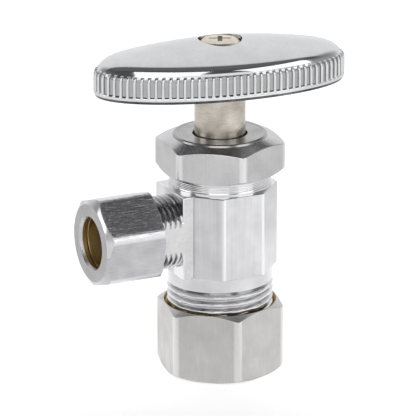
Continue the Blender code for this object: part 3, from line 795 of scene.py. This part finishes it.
def handle_crown(turns, normal, rise, below):
    """Rings over the round shoulder and the dome to the pocket, their angles, and the pocket's rim."""
    start, finish = math.asin((RIB_TOP - HANDLE_SHOULDER) / SHOULDER_RISE[1]), math.radians(60)
    crown = [below]
    for share in np.linspace(0, 1, 13)[1:]:
        angle = start + (finish - start) * share
        inset = [depth * (1 - math.cos(angle)) for depth in SHOULDER_DEPTH]
        points = oval(turns, inset) - normal * RIB_DEPTH * (1 - share) ** 2
        crown.append(at_height(points, HANDLE_SHOULDER + rise * math.sin(angle)))
    edge = HANDLE_SHOULDER + rise * math.sin(finish)
    outer = oval(turns, inset)
    direction = np.arctan2(outer[:, 1], outer[:, 0])

    def dome(points):
        far = np.hypot(points[:, 0] / (HANDLE_HALF[0] - inset[0]), points[:, 1] / (HANDLE_HALF[1] - inset[1]))
        return edge + (HANDLE_TOP - edge) * (1 - np.minimum(far, 1) ** 1.8)

    for share in np.linspace(0, 1, 31)[1:]:
        points = outer * (1 - share) + circle(direction, POCKET_R + 0.25) * share
        crown.append(at_height(points, dome(points)))
    crown = np.array(crown)
    for _ in range(CROWN_SOFTENING):
        crown[1:-1] = (crown[:-2] + 2 * crown[1:-1] + crown[2:]) / 4
    return list(crown[1:]), direction, dome(circle(direction, POCKET_R))


def handle_inside(turns, direction, rim):
    """Rings down the pocket and the screw's hole, round the socket and hub, and under the hollow."""
    hole, half_socket, socket_top = 2.7, 3.4, TANG_TOP + GAP
    pocket = [(POCKET_R + 0.12, rim - 0.03), (POCKET_R + 0.03, rim - 0.1), (POCKET_R, rim - 0.22)]
    pocket += [(POCKET_R, POCKET_FLOOR + 0.2), (POCKET_R - 0.06, POCKET_FLOOR + 0.06)]
    pocket += [(POCKET_R - 0.2, POCKET_FLOOR), (hole, POCKET_FLOOR), (hole, socket_top)]
    socket = [(half_socket, socket_top), (half_socket, HUB_BOTTOM + 0.3), (half_socket + 0.25, HUB_BOTTOM)]
    hub = [(HUB_R - 0.3, HUB_BOTTOM), (HUB_R - 0.08, HUB_BOTTOM + 0.09), (HUB_R, HUB_BOTTOM + 0.3)]
    hub += [(HUB_R, HANDLE_CEILING - 0.5), (HUB_R + 0.15, HANDLE_CEILING - 0.15)]
    hub += [(HUB_R + 0.5, HANDLE_CEILING)]
    hollow = [(0.5, HANDLE_CEILING), (0.12, HANDLE_CEILING - 0.14), (0, HANDLE_CEILING - 0.5)]
    hollow += [(0, HANDLE_RIM + 0.3), (-0.1, HANDLE_RIM + 0.08), (-0.3, HANDLE_RIM)]
    rings = [at_height(circle(direction, radius), height) for radius, height in pocket]
    rings += [at_height(square(direction, half), height) for half, height in socket]
    rings += [at_height(circle(direction, radius), height) for radius, height in hub]
    rings += [at_height(oval(turns, [HANDLE_WALL + inset] * 2), height) for inset, height in hollow]
    return rings


def make_handle():
    """Hollow oval handle: ribbed side and lip, round shoulder, dome with a pocket, hub and socket."""
    turns, places = handle_turns()
    normal = np.stack([np.cos(turns) / HANDLE_HALF[0], np.sin(turns) / HANDLE_HALF[1]], axis=1)
    normal /= np.linalg.norm(normal, axis=1, keepdims=True)
    rise = SHOULDER_RISE[0] + (SHOULDER_RISE[1] - SHOULDER_RISE[0]) * np.sin(turns) ** 2
    rings = handle_side(turns, normal, places, rise)
    crown, direction, rim = handle_crown(turns, normal, rise, rings[-1])
    item = skin("handle_finished", rings + crown + handle_inside(turns, direction, rim), with_handle)

    def on_side(centre, normal):
        return centre.z < RIB_TOP

    def inside(centre, normal):
        ceiling = 60 < centre.z < HANDLE_CEILING + 0.01 and normal.z < -0.3
        hub = centre.z < HANDLE_CEILING and math.hypot(centre.x, centre.y) < HUB_R + 0.2
        return ceiling or hub

    # Painted shade on the chamfer under the lip
    def under_lip(centre, normal):
        return centre.z < LIP_TOP - 0.62 and -0.95 < normal.z < -0.2

    dress(item, polished, "handle", (ribbed, on_side), (cast_inside, inside), (lip_shade, under_lip))


def make_stem():
    """Stem: bore for the swivel, thread, shank with a chamfered top, square tang and screw hole."""
    turns = even_turns(128)
    shank_top, relief_r, half, tang_corner_r = 55.7, STEM_R - 0.25, 3.1, 4.15
    low, high = RING_GROOVE
    swivel = [(0, 37.0), (3.5, 37.0), (3.5, high), (4.2, high), (4.2, low), (3.5, low)]
    end = [(3.5, STEM_BOTTOM + 0.25), (3.75, STEM_BOTTOM), (STEM_THREAD_R - 0.75, STEM_BOTTOM)]
    heights = np.arange(STEM_BOTTOM + 0.05, PACKING_FLOOR - 0.4, STEM_PITCH / 14)
    chamfer = (STEM_BOTTOM, STEM_BOTTOM + 0.6)
    threads = threaded_rings(heights, turns, STEM_THREAD_R, STEM_PITCH, STEM_DEPTH, chamfer)
    shank = [(relief_r, PACKING_FLOOR - 0.25), (relief_r, PACKING_FLOOR + 0.1)]
    shank += [(STEM_R, PACKING_FLOOR + 0.35), (STEM_R, shank_top - 0.35)]
    shank += [(STEM_R - 0.1, shank_top - 0.1), (STEM_R - 0.35, shank_top)]
    tang = [
        at_height(square(turns, size, HANDLE_TURN, tang_corner_r), height)
        for size, height in ((half, shank_top), (half, TANG_TOP - 0.3), (half - 0.25, TANG_TOP))
    ]
    hole = [(2.6, TANG_TOP), (2.4, TANG_TOP - 0.25), (2.4, 52.7), (0, 52.2)]
    rings = [spun(swivel + end, turns), threads, spun(shank, turns), tang, spun(hole, turns)]
    dress(skin("stem_finished", np.concatenate(rings), loop=False), nickel, "stem")


def ridges(first, pitch, count, crest, root):
    """Corners along a screw's ridges and valleys. crest and root are (radius, fillet)."""
    places = [first + pitch * turn / 2 for turn in range(2 * count)]
    return [(radius, place, fillet) for place, (radius, fillet) in zip(places, (crest, root) * count)]


def make_handle_screw():
    """Pan-head screw with a cross recess and a thread."""
    top, seat = SCREW_TOP, LOCK_WASHER[1] + GAP
    outline = [(0, SCREW_TIP, 0), (1.6, SCREW_TIP, 0.1), (1.75, SCREW_TIP + 0.4, 0)]
    outline += ridges(SCREW_TIP + 0.75, 0.7, 8, (2.1, 0.04), (1.75, 0.08))
    outline += [(1.8, seat - 1.0, 0.05), (1.8, seat, 0.1), (3.65, seat, 0.1), (3.8, seat + 0.15, 0.1)]
    outline += [(3.8, top - 0.65, 0.3), (3.35, top - 0.25, 0.8), (2.2, top - 0.05, 1.5), (0, top, 0)]
    item = turned("handle_screw_finished", outline, 96)
    arm, half = 2.15, 0.42
    levels = [(0.55, 0.3, top - 1.25), (arm * 0.92, half, top - 0.35), (arm * 1.08, half * 1.15, top + 0.3)]
    corners = ((-1, -1), (1, -1), (1, 1), (-1, 1))
    rings = [[(x * reach, y * width, z) for x, y in corners] for reach, width, z in levels]
    for name, swing in (("recess_one", SCREW_TURN), ("recess_two", SCREW_TURN + math.pi / 2)):
        cutter = skin(name, closed_off(np.array(rings)), loop=False)
        cutter.rotation_euler.z = swing
        bpy.context.view_layer.update()
        combine(item, cutter, "DIFFERENCE")
    dress(item, screw_nickel, "handle_screw")


# ---------------------------------------------------------------- small turned pieces


def washer(node, inner, outer, low, high, material, edge):
    """A flat ring with softened edges."""
    corners = [(inner, high, edge), (outer, high, edge), (outer, low, edge), (inner, low, edge)]
    dress(turned(node + "_finished", corners, 112, loop=True), material, node)


def split_washer(node, inner, outer, slit, rise, material):
    """A ring cut through at +X whose ends stand a little apart."""
    low, high = span(node, Z)
    start = math.asin(slit / 2 / outer)
    turns = np.linspace(start, 2 * math.pi - start, 97)
    corners = [(inner, high - rise), (outer, high - rise), (outer, low + rise), (inner, low + rise)]
    section = rounded([(*corner, 0.08) for corner in corners], closed=True, steps=3)
    radius, height = np.transpose(section)
    rings = [at_height(circle(turn, radius), height + rise * (turn / math.pi - 1)) for turn in turns]
    ends = [np.broadcast_to(np.mean(ring, axis=0), (len(section), 3)) for ring in (rings[0], rings[-1])]
    item = skin(node + "_finished", [ends[0], *rings, ends[1]], loop=False)
    dress(item, material, node)


def make_ferrules():
    """Brass sleeves of both compression joints."""
    inner = INLET_HOLE_R + 0.14
    inlet = [(inner, 6.6), (8.5, 6.6), (9.2, 5.2), (9.2, 4.2), (8.5, 2.6), (inner, 2.6)]
    item = turned("inlet_ferrule_finished", [(*point, 0.15) for point in inlet], 144, loop=True)
    dress(item, brass, "inlet_ferrule")
    inner, front = OUTLET_HOLE_R + 0.2, OUTLET_END
    back = OUTLET_NUT[1] - OUTLET_NUT_WEB - GAP
    outlet = [(inner, back), (5.4, back), (5.95, back - 1.5)]
    outlet += [(5.95, front + 1.1), (5.4, front), (inner, front)]
    item = turned("outlet_ferrule_finished", [(*point, 0.12) for point in outlet], 128, sideways, loop=True)
    dress(item, bright_brass, "outlet_ferrule")


def make_packing():
    """Gland washer, two packing rings and the support washer under them."""
    inner, outer = STEM_R + GAP, PACKING_BORE_R - GAP
    for node, material, edge in (
        ("packing_support_washer", brass, 0.08),
        ("packing_ring_lower", graphite, 0.3),
        ("packing_ring_upper", graphite, 0.3),
        ("packing_washer", brass, 0.12),
    ):
        washer(node, inner, outer, *span(node, Z), material, edge)


def make_seat_disc():
    """What closes on the seat: holder, its split ring, rubber washer, backing washer and slotted screw."""
    top = span("seat_disc_holder", Z)[1]
    washer_low, washer_high = span("seat_washer", Z)
    disc_top, stalk, hole, groove = STEM_BOTTOM - GAP, 3.2, 1.75, RING_GROOVE
    rim = BORE_R - GAP
    holder = [(0, top, 0), (stalk, top, 0.3), (stalk, groove[1], 0.06), (stalk - 0.55, groove[1], 0.06)]
    holder += [(stalk - 0.55, groove[0], 0.06), (stalk, groove[0], 0.06), (stalk, disc_top, 0.2)]
    holder += [(rim, disc_top, 0.2), (rim, washer_low + 1, 0.15), (5.2, washer_low + 1, 0.1)]
    holder += [(5.2, washer_high + GAP, 0.1), (hole, washer_high + GAP, 0.08)]
    holder += [(hole, 35.3, 0.1), (0, 35.5, 0)]
    dress(turned("seat_disc_holder_finished", holder, 112), brass, "seat_disc_holder")
    split_washer("disc_retaining_ring", 2.95, 3.9, 1.2, 0.02, steel)
    washer("seat_washer", hole, 4.9, washer_low, washer_high, rubber, 0.25)
    washer("seat_washer_backing", hole, 3.0, *span("seat_washer_backing", Z), brass, 0.08)
    low, high = span("seat_washer_screw", Z)
    head_top, shank = low + 1.4, 1.42
    outline = [(0, high, 0), (shank - 0.3, high, 0.1)]
    outline += ridges(high - 0.45, -0.5, 10, (shank, 0.03), (shank - 0.2, 0.05))
    outline += [(shank, head_top, 0.05), (2.5, head_top, 0.1), (2.5, low, 0.25), (0, low, 0)]
    screw = turned("seat_washer_screw_finished", outline, 96)
    combine(screw, box("screw_slot", (-3, -0.35, low - 0.5), (3, 0.35, low + 0.7)), "DIFFERENCE")
    dress(screw, brass, "seat_washer_screw")


def make_seat_ring():
    """Renewable seat with a raised rounded lip."""
    low, high = span("seat_ring", Z)
    flange, rim = 22.3, BORE_R - 0.4
    outline = [(3.5, high, 0.2), (4.3, high, 0.25), (4.6, flange + 0.5, 0.1), (rim, flange + 0.5, 0.1)]
    outline += [(rim, flange, 0.08), (4.9, flange, 0.08), (4.9, low, 0.15), (3.5, low, 0.15)]
    dress(turned("seat_ring_finished", outline, 112, loop=True), steel, "seat_ring")


make_body()
make_packing_nut()
make_inlet_nut()
make_outlet_nut()
make_handle()
make_stem()
make_handle_screw()
split_washer("handle_lock_washer", 2.5, 3.9, 0.6, 0.05, steel)
make_ferrules()
make_packing()
make_seat_disc()
make_seat_ring()


# ---------------------------------------------------------------- studio

# Brightness of the room: ARCH runs from the back horizon (0) over the top (0.5) to the front horizon (1),
# and SIDES goes by the sine of the elevation
BACK_DIRECTION = (0.446, 0.895, 0.0)
SIDE_DIRECTION = (0.895, -0.446, 0.0)
ARCH = ((0.0, 1.00), (0.25, 1.02), (0.408, 0.92), (0.438, 0.16))
ARCH += ((0.60, 0.16), (0.65, 0.10), (0.87, 0.10), (0.90, 1.10))
SIDES = ((0.0, 0.60), (0.3, 0.35), (0.6, 0.08))
# Strength of the floor's glow, and the metres over which it fades to the sides and comes in behind the valve
FLOOR_GLOW = (0.30, 0.62)
GLOW_SIDES, GLOW_BEHIND = (0.045, 0.08), (-0.05, 0.0)


def make_floor():
    """Wide pale floor that glows softly in a strip behind the valve."""
    bpy.ops.mesh.primitive_plane_add(size=8.0, location=(0, 0, -0.0002))
    floor = bpy.context.active_object
    floor.name = "floor"
    nodes = Material("pale_floor")
    tint = nodes.blend(nodes.noise((0.05, 0.05, 0.05)), (0.84, 0.84, 0.84), (0.87, 0.87, 0.87))
    nodes.link(tint, nodes.inputs["Base Color"])
    nodes.inputs["Roughness"].default_value = 0.9
    nodes.inputs["Specular IOR Level"].default_value = 0.1
    nodes.inputs["Emission Color"].default_value = (1, 1, 1, 1)
    aside = nodes.math("ABSOLUTE", nodes.along(SIDE_DIRECTION))
    near = nodes.remap(aside, 1.0, 0.0, *GLOW_SIDES)
    behind = nodes.remap(nodes.along(BACK_DIRECTION), 0.0, 1.0, *GLOW_BEHIND)
    glow = nodes.remap(nodes.math("MULTIPLY", near, behind), *FLOOR_GLOW, 0.0, 1.0)
    nodes.link(glow, nodes.inputs["Emission Strength"])
    floor.data.materials.append(nodes.material)


def make_world():
    """Room light: a pale back wall, a dark ceiling and front, and a bright strip low in front."""
    world = bpy.data.worlds.new("studio")
    bpy.context.scene.world = world
    world.use_nodes = True
    nodes = Nodes(world.node_tree, "Generated")
    split = nodes.add("SeparateXYZ")
    nodes.link(nodes.place, split.inputs["Vector"])
    up = split.outputs["Z"]

    def ramp(share, stops):
        made = nodes.add("ValToRGB")
        while len(made.color_ramp.elements) < len(stops):
            made.color_ramp.elements.new(0.5)
        for element, (place, grey) in zip(made.color_ramp.elements, stops):
            element.position = place
            element.color = (grey, grey, grey * 1.01, 1.0)
        nodes.link(share, made.inputs["Fac"])
        return made.outputs["Color"]

    over = nodes.math("ARCTAN2", up, nodes.along(BACK_DIRECTION))
    arch = ramp(nodes.math("DIVIDE", over, math.pi), ARCH)
    aside = nodes.math("ABSOLUTE", nodes.along(SIDE_DIRECTION))
    sides = nodes.remap(aside, 0.0, 1.0, 0.6, 0.95, smooth=True)
    background = nodes.tree.nodes["Background"]
    nodes.link(nodes.blend(sides, arch, ramp(up, SIDES)), background.inputs["Color"])
    background.inputs["Strength"].default_value = 1.0


def aimed(name, data, azimuth, elevation, distance, aim):
    """A light or camera aimed at a point. Azimuth 0 is at the front, -Y, and grows towards +X."""
    a, e = math.radians(azimuth), math.radians(elevation)
    away = Vector((math.sin(a) * math.cos(e), -math.cos(a) * math.cos(e), math.sin(e)))
    item = bpy.data.objects.new(name, data)
    item.location = Vector(aim) * MM + away * distance
    item.rotation_euler = (-away).to_track_quat("-Z", "Y").to_euler()
    bpy.context.scene.collection.objects.link(item)
    return item


def softbox(name, azimuth, elevation, size, watts):
    """A rectangular area light aimed at the valve."""
    light = bpy.data.lights.new(name, "AREA")
    light.shape = "RECTANGLE"
    light.size, light.size_y = size
    light.energy = watts
    aimed(name, light, azimuth, elevation, 0.9, (0, 0, 35))


def floor_spot(azimuth, distance, height, spread, watts):
    """A soft spotlight on the floor beside the valve, which its bright vertical faces mirror."""
    light = bpy.data.lights.new("floor_spot", "SPOT")
    light.energy = watts
    light.spot_size = 2 * math.atan2(spread, height)
    light.spot_blend = 1.0
    light.shadow_soft_size = 0.02
    item = bpy.data.objects.new("floor_spot", light)
    a = math.radians(azimuth)
    item.location = (math.sin(a) * distance, -math.cos(a) * distance, height)
    bpy.context.scene.collection.objects.link(item)


def make_camera():
    """The camera at the photograph's angle."""
    data = bpy.data.cameras.new("camera")
    data.lens = 313.4
    data.shift_x, data.shift_y = -0.0147, -0.0118
    data.clip_start, data.clip_end = 0.01, 20.0
    bpy.context.scene.camera = aimed("camera", data, 333.53, 18.3, 0.7, (-1.25, 0, 33.4))


make_floor()
make_world()
softbox("left_softbox", -29, 36, (0.7, 0.6), 2.2)
softbox("right_softbox", 34, 27, (0.56, 0.5), 1.45)
softbox("side_softbox", -110, 16, (0.45, 0.3), 0.75)
floor_spot(23, 0.105, 0.5, 0.075, 3.2)
make_camera()
bpy.context.scene.view_settings.view_transform = "Standard"
